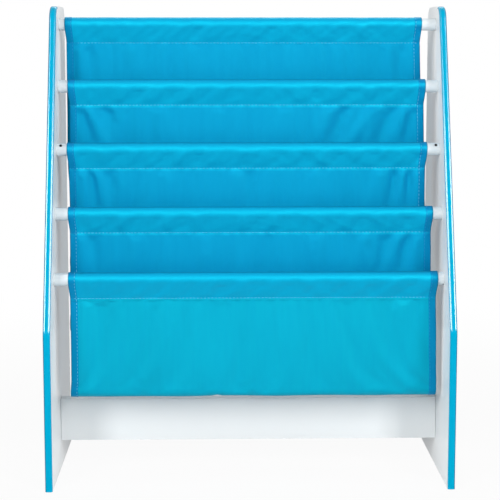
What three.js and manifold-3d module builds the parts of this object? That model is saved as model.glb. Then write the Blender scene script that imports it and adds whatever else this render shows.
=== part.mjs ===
// Sling bookshelf for children: two leaning side panels carry five rails, and one cloth
// hangs from the rails in four pockets. Millimetres, X to the right, Y to the back, Z up.
// The origin is on the floor, in the middle of the width and depth.

import * as THREE from 'three';
import { mergeVertices } from 'three/addons/utils/BufferGeometryUtils.js';
import Module from 'manifold-3d';

const wasm = await Module();
wasm.setup();

// Side panels
const overallWidth = 510;
const overallDepth = 230;
const overallHeight = 600;
const panelThickness = 9;
const uprightHeight = 198; // where the front edge starts to lean back
const topDepth = 99; // length of the level top edge, corners included
const kinkRadius = 40;
const frontCornerRadius = 22;
const backCornerRadius = 18;

// Edge strips on the front of the panels
const stripThickness = 3;
const stripArris = 2.6;

// Rails
const railCount = 5;
const railDiameter = 16;
const railWall = 1.2;
const topRailDrop = 23; // from the top of the panels down to the top rail's centre
const railPitch = 80;
const railSetback = 41; // from the leaning front edge to a rail's centre, level
const socketDepth = 3;

// Rail plugs and their bolts
const plugLength = 25;
const railBoltDiameter = 5;
const railBoltLength = 21;
const railBoltHeadDiameter = 10;
const railBoltRecess = 2.5;
const railBoltKey = 3;

// Lock screws near the ends of the middle rail
const lockScrewDiameter = 2.2;
const lockScrewHeadDiameter = 3.4;
const lockScrewHeadHeight = 1;
const lockScrewReach = 4.3;
const lockScrewInset = 5.5; // from the panel's inner face
const lockScrewDegrees = 42; // above level, towards the front

// Bottom board and what fastens it
const boardHeight = 55;
const boardThickness = 15;
const boardUnderside = 36;
const dowelDiameter = 8;
const dowelLength = 30;
const dowelPanelDepth = 6;
const dowelEdgeDistance = 13;
const boardBoltDiameter = 6;
const boardBoltLength = 45;
const boardBoltHeadDiameter = 12;
const boardBoltRecess = 3.5;
const boardBoltKey = 4;
const barrelDiameter = 10;
const barrelLength = 12;
const barrelEndDistance = 34; // from the panel's inner face to the barrel's axis
const barrelSlotWidth = 1.2;
const barrelSlotDepth = 1;

// Cloth
const clothSideGap = 12.5; // from the cloth's side edges to the panels, on average
const clothThickness = 1;
const channelDrop = 24; // from a rail's centre down to the stitched line
const channelLip = 2; // cloth below the stitched line
const pocketDrop = 153; // from the front rail's centre down to the pocket's lowest point
const pocketTuck = 2; // how much nearer the middle a wall hangs at the bottom than at its rail
const foldDepth = 2.5;
const foldCount = 4;
const foldShift = 0.6; // how far the folds are turned from one wall to the next, in radians
const edgeDraw = 2; // how far the side edges draw in below a channel
const topSlide = -5.5; // the cloth sits a little to the left at the top
const bottomSlide = 5; // and a little to the right at the bottom

// Fits
const fitGap = 0.3;
const overrun = 1; // a cutting tool reaches this far past what it cuts

const roundSides = 24;
const smallSides = 10;
const keySides = 6;
const cornerSteps = 6;
const kinkSteps = 3;
const arrisSteps = 3;
const wrapSteps = 16;
const wallRows = 6;
const bendRows = 6;
const clothColumns = 14;

// Places that follow from the sizes
const panelInner = overallWidth / 2 - panelThickness;
const leanRun = overallDepth - topDepth;
const leanRise = overallHeight - uprightHeight;
const leanAngle = Math.atan2(leanRun, leanRise);
const railRadius = railDiameter / 2;
const railEnd = panelInner + socketDepth - fitGap;
const plugRadius = railRadius - railWall - fitGap;
const boardMiddle = boardUnderside + boardHeight / 2;
const clothReach = railRadius + fitGap; // inner radius of a channel
const leanDirection = new THREE.Vector2(Math.sin(leanAngle), Math.cos(leanAngle));
const railStep = railPitch * leanRun / leanRise; // each rail is this far behind the next
const clothWidth = 2 * (panelInner - clothSideGap);
const pocketBend = railStep / 2 - pocketTuck; // radius of a pocket's bottom, at mid cloth

const finishes = {
  paintedBoard: { color: 0xdde1e3, roughness: 0.45, metalness: 0 },
  blueStrip: { color: 0x00a6d8, roughness: 0.2, metalness: 0 },
  whiteTube: { color: 0xd9dee1, roughness: 0.35, metalness: 0 },
  greyPlastic: { color: 0x8c9194, roughness: 0.55, metalness: 0 },
  steel: { color: 0xb4b8bb, roughness: 0.35, metalness: 1 },
  darkSteel: { color: 0x2a2c2f, roughness: 0.4, metalness: 1 },
  beech: { color: 0xc89b6a, roughness: 0.7, metalness: 0 },
  blueCloth: { color: 0x0094c4, roughness: 0.6, metalness: 0 },
};
for (const [name, settings] of Object.entries(finishes)) {
  finishes[name] = new THREE.MeshStandardMaterial(settings);
}

const bookshelf = new THREE.Group();

function add(name, geometry, finish) {
  const mesh = new THREE.Mesh(geometry, finish);
  mesh.name = name;
  bookshelf.add(mesh);
}

// Solids

function solidOf(geometry) {
  const bare = geometry.clone();
  bare.deleteAttribute('normal');
  bare.deleteAttribute('uv');
  const merged = mergeVertices(bare);
  return new wasm.Manifold(new wasm.Mesh({
    numProp: 3,
    vertProperties: new Float32Array(merged.attributes.position.array),
    triVerts: new Uint32Array(merged.index.array),
  }));
}

function geometryOf(solid) {
  const mesh = solid.getMesh();
  const geometry = new THREE.BufferGeometry();
  geometry.setAttribute('position', new THREE.BufferAttribute(mesh.vertProperties, 3));
  geometry.setIndex(new THREE.BufferAttribute(mesh.triVerts, 1));
  geometry.computeVertexNormals();
  return geometry;
}

function cut(geometry, tools) {
  let solid = solidOf(geometry);
  for (const tool of tools) solid = solid.subtract(solidOf(tool));
  return geometryOf(solid);
}

// A round bar along X between two places, centred on (y, z)
function barAlongX(radius, from, to, y, z, sides) {
  const bar = new THREE.CylinderGeometry(radius, radius, Math.abs(to - from), sides);
  bar.rotateZ(Math.PI / 2);
  return bar.translate((from + to) / 2, y, z);
}

// An outline drawn in (depth, height), extruded along X between two places
function extrudeAlongX(shape, from, to) {
  const geometry = new THREE.ExtrudeGeometry(shape, { depth: to - from, bevelEnabled: false });
  const turn = new THREE.Matrix4().makeBasis(
    new THREE.Vector3(0, 1, 0), new THREE.Vector3(0, 0, 1), new THREE.Vector3(1, 0, 0));
  geometry.applyMatrix4(turn);
  return geometry.translate(from, 0, 0);
}

// A closed solid from a grid of points on two sides, joined round its rim
function shellGeometry(columns, rows, place) {
  const positions = [];
  const index = [];
  for (const side of [0, 1]) {
    for (let column = 0; column <= columns; column++) {
      for (let row = 0; row <= rows; row++) {
        positions.push(...place(column, row, side).toArray());
      }
    }
  }
  const at = (side, column, row) => (side * (columns + 1) + column) * (rows + 1) + row;
  const quad = (a, b, c, d) => index.push(a, b, c, a, c, d);
  for (let column = 0; column < columns; column++) {
    for (let row = 0; row < rows; row++) {
      quad(at(1, column, row), at(1, column + 1, row),
        at(1, column + 1, row + 1), at(1, column, row + 1));
      quad(at(0, column, row), at(0, column, row + 1),
        at(0, column + 1, row + 1), at(0, column + 1, row));
    }
    quad(at(0, column, 0), at(0, column + 1, 0), at(1, column + 1, 0), at(1, column, 0));
    quad(at(1, column, rows), at(1, column + 1, rows),
      at(0, column + 1, rows), at(0, column, rows));
  }
  for (let row = 0; row < rows; row++) {
    quad(at(1, 0, row), at(1, 0, row + 1), at(0, 0, row + 1), at(0, 0, row));
    quad(at(0, columns, row), at(0, columns, row + 1),
      at(1, columns, row + 1), at(1, columns, row));
  }
  const geometry = new THREE.BufferGeometry();
  geometry.setAttribute('position', new THREE.Float32BufferAttribute(positions, 3));
  geometry.setIndex(index);
  geometry.computeVertexNormals();
  return geometry;
}

// Side panels and edge strips

// Points of a rounded corner between two directions, moved into the panel by inset
function cornerPoints(corner, into, outOf, radius, inset, steps) {
  const turn = Math.acos(THREE.MathUtils.clamp(into.dot(outOf), -1, 1));
  const inward = new THREE.Vector2(into.y, -into.x);
  const centre = corner.clone()
    .addScaledVector(into, -radius * Math.tan(turn / 2))
    .addScaledVector(inward, radius);
  const points = [];
  for (let step = 0; step <= steps; step++) {
    const angle = -turn * step / steps;
    const outward = inward.clone().negate().rotateAround(new THREE.Vector2(), angle);
    points.push(centre.clone().addScaledVector(outward, radius - inset));
  }
  return points;
}

// The front edge from the floor to the end of the top front corner, moved in by inset
function frontLine(inset) {
  const up = new THREE.Vector2(0, 1);
  const back = new THREE.Vector2(1, 0);
  const kink = new THREE.Vector2(0, uprightHeight);
  const top = new THREE.Vector2(leanRun, overallHeight);
  return [
    new THREE.Vector2(inset, 0),
    ...cornerPoints(kink, up, leanDirection, kinkRadius, inset, kinkSteps),
    ...cornerPoints(top, leanDirection, back, frontCornerRadius, inset, cornerSteps),
  ].map((point) => point.add(new THREE.Vector2(-overallDepth / 2, 0)));
}

function panelOutline() {
  const inset = stripThickness + fitGap;
  const front = frontLine(inset);
  const stripEnd = front[front.length - 1].x + fitGap;
  const back = cornerPoints(
    new THREE.Vector2(overallDepth / 2, overallHeight),
    new THREE.Vector2(1, 0), new THREE.Vector2(0, -1), backCornerRadius, 0, cornerSteps);
  return new THREE.Shape([
    ...front,
    new THREE.Vector2(stripEnd, overallHeight - inset),
    new THREE.Vector2(stripEnd, overallHeight),
    ...back,
    new THREE.Vector2(overallDepth / 2, 0),
  ]);
}

// One panel: sockets for the rails, holes for dowels, and recessed holes for the bolts.
// side is -1 for the left panel and 1 for the right one.
function sidePanel(side) {
  const outer = side * overallWidth / 2;
  const inner = side * panelInner;
  const outside = outer + side * overrun;
  const inside = inner - side * overrun;
  const holes = [];
  const boltHoles = (y, z, size) => {
    holes.push(barAlongX(size.shank / 2 + fitGap, outside, inside, y, z, smallSides));
    holes.push(barAlongX(size.head / 2 + fitGap, outside, outer - side * size.recess, y, z, roundSides));
  };
  for (const rail of rails) {
    const socketFloor = inner + side * socketDepth;
    boltHoles(rail.y, rail.z, railBolt);
    holes.push(barAlongX(railRadius + fitGap, inside, socketFloor, rail.y, rail.z, roundSides));
  }
  boltHoles(0, boardMiddle, boardBolt);
  for (const z of dowelHeights) {
    const dowelFloor = inner + side * dowelPanelDepth;
    holes.push(barAlongX(dowelDiameter / 2 + fitGap, inside, dowelFloor, 0, z, smallSides));
  }
  const slab = extrudeAlongX(panelOutline(), Math.min(outer, inner), Math.max(outer, inner));
  return cut(slab, holes);
}

// The strip's section, as places across the panel and how far each lies behind the front
function stripSection() {
  const half = panelThickness / 2;
  const section = [[-half, stripThickness]];
  for (const side of [-1, 1]) {
    for (let step = 0; step <= arrisSteps; step++) {
      const angle = Math.PI / 2 * (side < 0 ? step : arrisSteps - step) / arrisSteps;
      section.push([
        side * (half - stripArris * (1 - Math.cos(angle))),
        stripArris * (1 - Math.sin(angle)),
      ]);
    }
  }
  section.push([half, stripThickness]);
  return section;
}

// A ring of section points at each station of the front line, with a cap at both ends
function edgeStrip(side) {
  const middle = side * (overallWidth - panelThickness) / 2;
  const section = stripSection();
  const lines = section.map(([, inset]) => frontLine(inset));
  const stations = lines[0].length;
  const positions = [];
  const index = [];
  for (let station = 0; station < stations; station++) {
    section.forEach(([across], corner) => {
      positions.push(middle + across, lines[corner][station].x, lines[corner][station].y);
    });
  }
  const count = section.length;
  for (let station = 0; station + 1 < stations; station++) {
    for (let corner = 0; corner < count; corner++) {
      const a = station * count + corner;
      const b = station * count + (corner + 1) % count;
      index.push(a, b, b + count, a, b + count, a + count);
    }
  }
  for (let corner = 1; corner + 1 < count; corner++) {
    const last = (stations - 1) * count;
    index.push(0, corner + 1, corner);
    index.push(last, last + corner, last + corner + 1);
  }
  const geometry = new THREE.BufferGeometry();
  geometry.setAttribute('position', new THREE.Float32BufferAttribute(positions, 3));
  geometry.setIndex(index);
  geometry.computeVertexNormals();
  return geometry;
}

// Rails, plugs, bolts and lock screws

// Where each rail's centre lies: the same distance behind the leaning front edge
function railPlaces() {
  const places = [];
  for (let number = 0; number < railCount; number++) {
    const z = overallHeight - topRailDrop - number * railPitch;
    const front = (z - uprightHeight) * leanRun / leanRise;
    places.push({ y: front + railSetback - overallDepth / 2, z });
  }
  return places;
}

// A hole or screw along a lock screw's axis, from one distance off the rail's centre to another
function lockBar(side, radius, from, to) {
  const bar = new THREE.CylinderGeometry(radius, radius, to - from, smallSides);
  bar.translate(0, (from + to) / 2, 0);
  bar.rotateX(Math.PI - THREE.MathUtils.degToRad(lockScrewDegrees));
  const rail = rails[lockedRail];
  return bar.translate(side * (panelInner - lockScrewInset), rail.y, rail.z);
}

function lockHoles() {
  const radius = lockScrewDiameter / 2 + fitGap;
  return [-1, 1].map((side) => lockBar(side, radius, railRadius - lockScrewReach, railDiameter));
}

function lockScrew(side) {
  const seat = railRadius + fitGap;
  const top = seat + lockScrewHeadHeight;
  const shank = lockBar(side, lockScrewDiameter / 2, seat - lockScrewReach, (seat + top) / 2);
  const head = lockBar(side, lockScrewHeadDiameter / 2, seat, top);
  return geometryOf(solidOf(shank).add(solidOf(head)));
}

function railTube(rail, number) {
  const outside = barAlongX(railRadius, -railEnd, railEnd, rail.y, rail.z, roundSides);
  const bore = barAlongX(railRadius - railWall, -railEnd - overrun, railEnd + overrun,
    rail.y, rail.z, roundSides);
  return cut(outside, number === lockedRail ? [bore, ...lockHoles()] : [bore]);
}

function railPlug(rail, number, side) {
  const inside = side * (railEnd - plugLength);
  const body = barAlongX(plugRadius, side * railEnd, inside, rail.y, rail.z, roundSides);
  const bore = barAlongX(railBoltDiameter / 2 + fitGap, side * (railEnd + overrun),
    inside - side * overrun, rail.y, rail.z, smallSides);
  return cut(body, number === lockedRail ? [bore, ...lockHoles()] : [bore]);
}

// A flat-headed bolt that enters a panel from outside, with its head flush in its recess
function panelBolt(side, y, z, size) {
  const seat = side * (overallWidth / 2 - size.recess + fitGap);
  const top = side * overallWidth / 2;
  const shank = barAlongX(size.shank / 2, seat + side * fitGap, seat - side * size.length, y, z, smallSides);
  const head = barAlongX(size.head / 2, seat, top, y, z, roundSides);
  const keyDepth = (size.recess - fitGap) / 2;
  const key = barAlongX(size.key / 2, top + side * overrun, top - side * keyDepth, y, z, keySides);
  return geometryOf(solidOf(shank).add(solidOf(head)).subtract(solidOf(key)));
}

// Bottom board, dowels and barrel nuts

function barrelBar(side, radius, from, to) {
  const bar = new THREE.CylinderGeometry(radius, radius, to - from, roundSides);
  const x = side * (panelInner - barrelEndDistance);
  return bar.translate(x, (from + to) / 2, boardMiddle);
}

function bottomBoard() {
  const end = panelInner - fitGap;
  const board = new THREE.BoxGeometry(2 * end, boardThickness, boardHeight);
  board.translate(0, 0, boardMiddle);
  const holes = [];
  for (const side of [-1, 1]) {
    for (const z of dowelHeights) {
      holes.push(barAlongX(dowelDiameter / 2 + fitGap, side * panelInner,
        side * (dowelInnerEnd - fitGap), 0, z, smallSides));
    }
    holes.push(barAlongX(boardBoltDiameter / 2 + fitGap, side * panelInner,
      side * (boardBoltEnd - fitGap), 0, boardMiddle, smallSides));
    holes.push(barrelBar(side, barrelDiameter / 2 + fitGap,
      boardThickness / 2 - barrelLength - fitGap, boardThickness / 2 + overrun));
  }
  return cut(board, holes);
}

function barrelNut(side) {
  const back = boardThickness / 2;
  const x = side * (panelInner - barrelEndDistance);
  const body = barrelBar(side, barrelDiameter / 2, back - barrelLength, back);
  const bore = barAlongX(boardBoltDiameter / 2 + fitGap, x - barrelDiameter, x + barrelDiameter,
    0, boardMiddle, smallSides);
  const slot = new THREE.BoxGeometry(2 * barrelDiameter, 2 * barrelSlotDepth, barrelSlotWidth);
  slot.translate(x, back, boardMiddle);
  return cut(body, [bore, slot]);
}

function dowel(side, z) {
  const outerEnd = panelInner + dowelPanelDepth - fitGap;
  return barAlongX(dowelDiameter / 2, side * outerEnd, side * dowelInnerEnd, 0, z, smallSides);
}

// Cloth

// How far the cloth has slid sideways at a rail, and between two rails
function slideAt(number) {
  return topSlide + (bottomSlide - topSlide) * number / (railCount - 1);
}

// A channel: the cloth over a rail, drawn together at the stitched line under it
function channel(rail, number) {
  const loop = (radius, bottom) => {
    const tangent = Math.asin(clothReach / channelDrop);
    const points = [];
    for (let step = 0; step <= wrapSteps; step++) {
      const angle = -tangent + (Math.PI + 2 * tangent) * step / wrapSteps;
      points.push(new THREE.Vector2(
        rail.y + radius * Math.cos(angle), rail.z + radius * Math.sin(angle)));
    }
    return [...points, ...bottom];
  };
  const foot = rail.z - channelDrop - channelLip;
  const neck = clothThickness + fitGap / 2;
  const outside = new THREE.Shape(loop(clothReach + clothThickness, [
    new THREE.Vector2(rail.y - neck, rail.z - channelDrop),
    new THREE.Vector2(rail.y - neck, foot),
    new THREE.Vector2(rail.y + neck, foot),
    new THREE.Vector2(rail.y + neck, rail.z - channelDrop),
  ]));
  outside.holes.push(new THREE.Path(loop(clothReach,
    [new THREE.Vector2(rail.y, rail.z - channelDrop)])));
  const middle = slideAt(number);
  return extrudeAlongX(outside, middle - clothWidth / 2, middle + clothWidth / 2);
}

// The line that a pocket follows from the upper rail's channel to the lower rail's, as
// points with the direction out of the pocket and how freely the cloth folds there
function pocketLine(upper, lower) {
  const hang = channelDrop + channelLip + fitGap;
  const off = (clothThickness + fitGap) / 2;
  const bendY = (upper.y + lower.y) / 2;
  const bendZ = lower.z - pocketDrop + pocketBend + clothThickness / 2;
  const line = [];
  const wall = (from, to, outward, skipFirst) => {
    for (let row = skipFirst ? 1 : 0; row <= wallRows; row++) {
      const share = row / wallRows;
      const looseness = Math.sin(Math.PI * share) ** 2;
      const point = new THREE.Vector2().lerpVectors(from, to, share);
      line.push({ point, outward: new THREE.Vector2(outward, 0), looseness, outwardSign: outward });
    }
  };
  wall(new THREE.Vector2(upper.y - off, upper.z - hang),
    new THREE.Vector2(bendY + pocketBend, bendZ), 1, false);
  for (let row = 1; row < bendRows; row++) {
    const angle = -Math.PI * row / bendRows;
    const outward = new THREE.Vector2(Math.cos(angle), Math.sin(angle));
    const point = new THREE.Vector2(bendY, bendZ).addScaledVector(outward, pocketBend);
    line.push({ point, outward, looseness: 0, outwardSign: 0 });
  }
  wall(new THREE.Vector2(bendY - pocketBend, bendZ),
    new THREE.Vector2(lower.y + off, lower.z - hang), -1, false);
  return line;
}

// A pocket: its walls fold softly into its own space, and its side edges draw in
function pocket(upper, lower, number) {
  const line = pocketLine(upper, lower);
  const rows = line.length - 1;
  return shellGeometry(clothColumns, rows, (column, row, side) => {
    const { point, outward, looseness, outwardSign } = line[row];
    const across = column / clothColumns - 1 / 2;
    const turn = 2 * Math.PI * foldCount * across + foldShift * (number + outwardSign);
    const fold = foldDepth * looseness * (1 + Math.cos(turn)) / 2;
    const depth = (side - 1 / 2) * clothThickness - fold;
    const halfWidth = clothWidth / 2 - edgeDraw * looseness;
    const middle = slideAt(number + row / rows);
    const section = point.clone().addScaledVector(outward, depth);
    return new THREE.Vector3(middle + 2 * across * halfWidth, section.x, section.y);
  });
}

// Assembly

const rails = railPlaces();
const lockedRail = Math.floor(railCount / 2);
const dowelHeights = [boardUnderside + dowelEdgeDistance,
  boardUnderside + boardHeight - dowelEdgeDistance];
const dowelInnerEnd = panelInner + dowelPanelDepth - fitGap - dowelLength;
const boardBoltEnd = overallWidth / 2 - boardBoltRecess + fitGap - boardBoltLength;
const railBolt = {
  shank: railBoltDiameter, head: railBoltHeadDiameter, length: railBoltLength,
  recess: railBoltRecess, key: railBoltKey,
};
const boardBolt = {
  shank: boardBoltDiameter, head: boardBoltHeadDiameter, length: boardBoltLength,
  recess: boardBoltRecess, key: boardBoltKey,
};

for (const [word, side] of [['left', -1], ['right', 1]]) {
  add(`${word}_side_panel`, sidePanel(side), finishes.paintedBoard);
  add(`${word}_edge_strip`, edgeStrip(side), finishes.blueStrip);
  add(`${word}_rail_lock_screw`, lockScrew(side), finishes.darkSteel);
  dowelHeights.forEach((z, number) => {
    add(`${word}_board_dowel_${number + 1}`, dowel(side, z), finishes.beech);
  });
  add(`${word}_board_bolt`, panelBolt(side, 0, boardMiddle, boardBolt), finishes.steel);
  add(`${word}_barrel_nut`, barrelNut(side), finishes.steel);
  rails.forEach((rail, number) => {
    add(`${word}_plug_rail_${number + 1}`, railPlug(rail, number, side), finishes.greyPlastic);
    add(`${word}_bolt_rail_${number + 1}`, panelBolt(side, rail.y, rail.z, railBolt), finishes.steel);
  });
}
add('bottom_board', bottomBoard(), finishes.paintedBoard);
rails.forEach((rail, number) => {
  add(`rail_${number + 1}`, railTube(rail, number), finishes.whiteTube);
  add(`sling_channel_${number + 1}`, channel(rail, number), finishes.blueCloth);
  if (number + 1 < railCount) {
    add(`sling_pocket_${number + 1}`, pocket(rail, rails[number + 1], number), finishes.blueCloth);
  }
});

export default bookshelf;
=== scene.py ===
# Sling bookshelf in a plain studio. Metres, front towards -Y, up is +Z.
import math
from functools import partial

import bmesh
import bpy
import numpy as np
from mathutils import Euler, Matrix, Vector


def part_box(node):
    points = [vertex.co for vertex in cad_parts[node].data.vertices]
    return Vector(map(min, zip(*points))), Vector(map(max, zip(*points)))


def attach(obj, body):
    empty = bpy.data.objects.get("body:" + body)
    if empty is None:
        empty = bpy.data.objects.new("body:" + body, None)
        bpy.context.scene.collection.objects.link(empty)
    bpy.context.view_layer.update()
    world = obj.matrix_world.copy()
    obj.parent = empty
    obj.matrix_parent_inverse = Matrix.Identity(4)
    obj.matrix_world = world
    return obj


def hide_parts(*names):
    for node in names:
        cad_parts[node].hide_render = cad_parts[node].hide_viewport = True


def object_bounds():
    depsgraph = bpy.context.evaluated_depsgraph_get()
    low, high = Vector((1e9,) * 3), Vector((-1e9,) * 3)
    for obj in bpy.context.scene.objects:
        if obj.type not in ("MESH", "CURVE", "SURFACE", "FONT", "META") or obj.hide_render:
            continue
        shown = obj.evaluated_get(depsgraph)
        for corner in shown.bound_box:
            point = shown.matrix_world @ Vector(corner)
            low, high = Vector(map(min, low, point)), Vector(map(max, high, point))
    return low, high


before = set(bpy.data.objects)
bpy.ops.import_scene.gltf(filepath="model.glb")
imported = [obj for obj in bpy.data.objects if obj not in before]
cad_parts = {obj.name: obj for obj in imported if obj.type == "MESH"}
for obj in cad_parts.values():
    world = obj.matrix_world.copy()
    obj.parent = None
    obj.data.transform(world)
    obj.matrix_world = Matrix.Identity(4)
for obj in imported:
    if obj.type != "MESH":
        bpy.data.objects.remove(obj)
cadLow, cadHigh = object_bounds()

scene = bpy.context.scene
mm = 0.001
merge = 0.001 * mm  # points closer than this are one
white = (1, 1, 1, 1)
sides = {"left": -1, "right": 1}


# Small helpers

def srgb(red, green, blue):  # screen colour to the linear one
    def linear(value):
        value /= 255
        return value / 12.92 if value <= 0.04045 else ((value + 0.055) / 1.055) ** 2.4
    return (linear(red), linear(green), linear(blue), 1)


def operator(operation, reflected=False):  # one of a signal's operators, as a Math node
    def calculate(one, two):
        return one.graph.maths(operation, *((two, one) if reflected else (one, two)))
    return calculate


class Signal:  # a node's output that can stand in a sum
    __add__ = operator("ADD")
    __radd__ = operator("ADD", reflected=True)
    __sub__ = operator("SUBTRACT")
    __rsub__ = operator("SUBTRACT", reflected=True)
    __mul__ = operator("MULTIPLY")
    __rmul__ = operator("MULTIPLY", reflected=True)
    __truediv__ = operator("DIVIDE")

    def __init__(self, graph, socket):
        self.graph = graph
        self.socket = socket


class Graph:  # a node tree, for shaders and for geometry
    def __init__(self, tree):
        self.tree = tree
        self.tree.nodes.clear()

    def node(self, kind, settings=None, values=None, out=0):
        made = self.tree.nodes.new(kind)
        for key, value in (settings or {}).items():
            setattr(made, key, value)
        for key, value in (values or {}).items():
            for one in value if isinstance(value, list) else [value]:  # a list joins several links
                if isinstance(one, Signal):
                    self.tree.links.new(one.socket, made.inputs[key])
                else:
                    made.inputs[key].default_value = one
        return Signal(self, made.outputs[out]) if made.outputs else made

    def maths(self, operation, *values):
        return self.node("ShaderNodeMath", {"operation": operation}, dict(enumerate(values)))

    def axes(self, vector):  # its x, y and z
        made = self.node("ShaderNodeSeparateXYZ", {}, {"Vector": vector}).socket.node
        return [Signal(self, socket) for socket in made.outputs]

    def named(self, name):  # a vector that the geometry's points carry
        return self.node("GeometryNodeInputNamedAttribute", {"data_type": "FLOAT_VECTOR"}, {"Name": name})

    def step(self, signal, ends, base=0):  # 0 before the first end, 1 after the other, smooth
        start, end = (base + one for one in ends)
        return self.node("ShaderNodeMapRange", {"interpolation_type": "SMOOTHSTEP"},
                {"Value": signal, "From Min": start, "From Max": end})

    def blend(self, factor, one, two):  # a colour between two
        return self.node("ShaderNodeMix", {"data_type": "RGBA"}, {0: factor, 6: one, 7: two}, out=2)

    def noise(self, place, scale, detail=2.0, roughness=0.5):
        return self.node("ShaderNodeTexNoise", {},
                {"Vector": place, "Scale": scale, "Detail": detail, "Roughness": roughness})

    def stretched(self, place, scale):
        return self.node("ShaderNodeMapping", {}, {"Vector": place, "Scale": scale})

    def bump(self, height, strength, distance):
        return self.node("ShaderNodeBump", {},
                {"Height": height, "Strength": strength, "Distance": distance})


def newMaterial(name):  # a slot's name turns into camelCase
    first, *rest = name.split("_")
    material = bpy.data.materials.new(first + "".join(word.title() for word in rest))
    material.use_nodes = True
    return material, Graph(material.node_tree)


def objectPlace(graph):  # where a point is, in the part's own frame
    return graph.node("ShaderNodeTexCoord", out="Object")


def makeFinish(name, recipe, *numbers):  # a material of the values that a recipe gives
    material, graph = newMaterial(name)
    values = recipe(graph, objectPlace(graph), *numbers)
    shader = graph.node("ShaderNodeBsdfPrincipled", {}, values)
    graph.node("ShaderNodeOutputMaterial", {}, {"Surface": shader})
    return material


def linkObject(thing):
    scene.collection.objects.link(thing)
    return thing


def addPiece(name, mesh, slot, nodes=(), finish=None):
    piece = linkObject(bpy.data.objects.new(name, mesh))
    mesh.materials.clear()
    mesh.materials.append(finishes[finish or slot])
    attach(piece, "root")
    if nodes:
        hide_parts(*nodes)
    return piece


def shadeSmooth(mesh, sharp=None):  # all but the edges past an angle, in degrees
    mesh.polygons.foreach_set("use_smooth", [True] * len(mesh.polygons))
    if sharp:
        mesh.set_sharp_from_angle(angle=math.radians(sharp))


def settled(host):  # a host's mesh with its modifiers applied
    ready = host.evaluated_get(bpy.context.evaluated_depsgraph_get())
    mesh = bpy.data.meshes.new_from_object(ready)
    bpy.data.objects.remove(host)
    return mesh


def newTree(name, inputs):  # a geometry tree with named inputs, listed by kind
    tree = bpy.data.node_groups.new(name, "GeometryNodeTree")
    graph = Graph(tree)
    tree.interface.new_socket("Geometry", in_out="INPUT", socket_type="NodeSocketGeometry")
    for kind, keys in {**inputs, "Material": ["Material"]}.items():
        for key in keys:
            tree.interface.new_socket(key, in_out="INPUT", socket_type="NodeSocket" + kind)
    tree.interface.new_socket("Geometry", in_out="OUTPUT", socket_type="NodeSocketGeometry")
    source = tree.nodes.new("NodeGroupInput")
    given = {socket.name: Signal(graph, socket) for socket in source.outputs if socket.name}
    return graph, given


def closeTree(graph, given, made):
    real = graph.node("GeometryNodeRealizeInstances", {}, {"Geometry": made})
    painted = graph.node("GeometryNodeSetMaterial", {},
            {"Geometry": real, "Material": given["Material"]})
    graph.node("NodeGroupOutput", {}, {"Geometry": painted})
    return graph.tree


# Runs a geometry tree and keeps its result as a plain mesh
def grow(name, tree, finish, values, base=None):
    values = {**values, "Material": finishes[finish]}
    host = linkObject(bpy.data.objects.new(name + "Host", base or bpy.data.meshes.new(name)))
    modifier = host.modifiers.new("grow", "NODES")
    modifier.node_group = tree
    for item in tree.interface.items_tree:
        if item.in_out == "INPUT" and item.name in values:
            modifier[item.identifier] = values[item.name]
    return settled(host)


def guideMesh(name, places, **ways):  # points that carry named vectors
    mesh = bpy.data.meshes.new(name)
    mesh.from_pydata(places, [], [])
    for key, vectors in ways.items():
        layer = mesh.attributes.new(key, "FLOAT_VECTOR", "POINT")
        layer.data.foreach_set("vector", np.array(vectors).ravel())
    return mesh


# Camera and light

camera = {
    "place": (-0.0416, -1.8350, 0.5575),
    "turn": 0.0236,  # to the right, radians
    "tilt": 0.1224,  # down, radians
    "lens": 102.78,
    "sensor": 36,
    "shiftUp": -0.07,
}


def makeCamera():
    data = bpy.data.cameras.new("camera")
    data.lens = camera["lens"]
    data.sensor_width = camera["sensor"]
    data.shift_y = camera["shiftUp"]
    eye = linkObject(bpy.data.objects.new("camera", data))
    eye.location = camera["place"]
    eye.rotation_euler = Euler((math.pi / 2 - camera["tilt"], 0, -camera["turn"]))
    scene.camera = eye


studio = {
    "worldStrength": 0.12,
    "middle": (0, 0, 0.3),
    # azimuth (0 is the camera's side, 90 the right), elevation, distance, width, height, watts
    "softboxes": {
        "frontStrip": (3, 15, 2.4, 2.0, 0.22, 8),
        "leftSide": (-33, 26, 2.4, 0.5, 1.5, 26),
        "rightSide": (33, 26, 2.4, 0.5, 1.5, 26),
        "leftFill": (-74, 14, 2.4, 0.8, 1.2, 17),
        "rightFill": (74, 14, 2.4, 0.8, 1.2, 17),
        "behind": (172, 48, 2.4, 1.6, 1.0, 14),
    },
    "floorTones": ((0.62, 0.62, 0.62, 1), (0.58, 0.58, 0.58, 1)),
    "floorRoughness": 0.8,
    "floorNear": 0.94,  # how much of the floor the camera sees as plain white, near the shelf
    "floorFade": (0.35, 1.3),  # and it is all white from here on
    "floorSize": 14,
}


def makeSoftbox(name, azimuth, elevation, distance, width, height, watts):
    light = bpy.data.lights.new(name, "AREA")
    light.shape = "RECTANGLE"
    light.size = width
    light.size_y = height
    light.energy = watts
    lamp = linkObject(bpy.data.objects.new(name, light))
    turn, rise = math.radians(azimuth), math.radians(elevation)
    away = Vector((math.sin(turn) * math.cos(rise), -math.cos(turn) * math.cos(rise), math.sin(rise)))
    lamp.location = Vector(studio["middle"]) + away * distance
    lamp.rotation_euler = away.to_track_quat("Z", "Y").to_euler()


def whiteWhereSeen(graph):  # 1 for rays that show the background, 0 for its light
    path = graph.node("ShaderNodeLightPath").socket.node.outputs
    seen, glossy, through = (Signal(graph, path[f"Is {kind} Ray"])
            for kind in ("Camera", "Glossy", "Transmission"))
    return graph.maths("MAXIMUM", graph.maths("MAXIMUM", seen, glossy), through)


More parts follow.
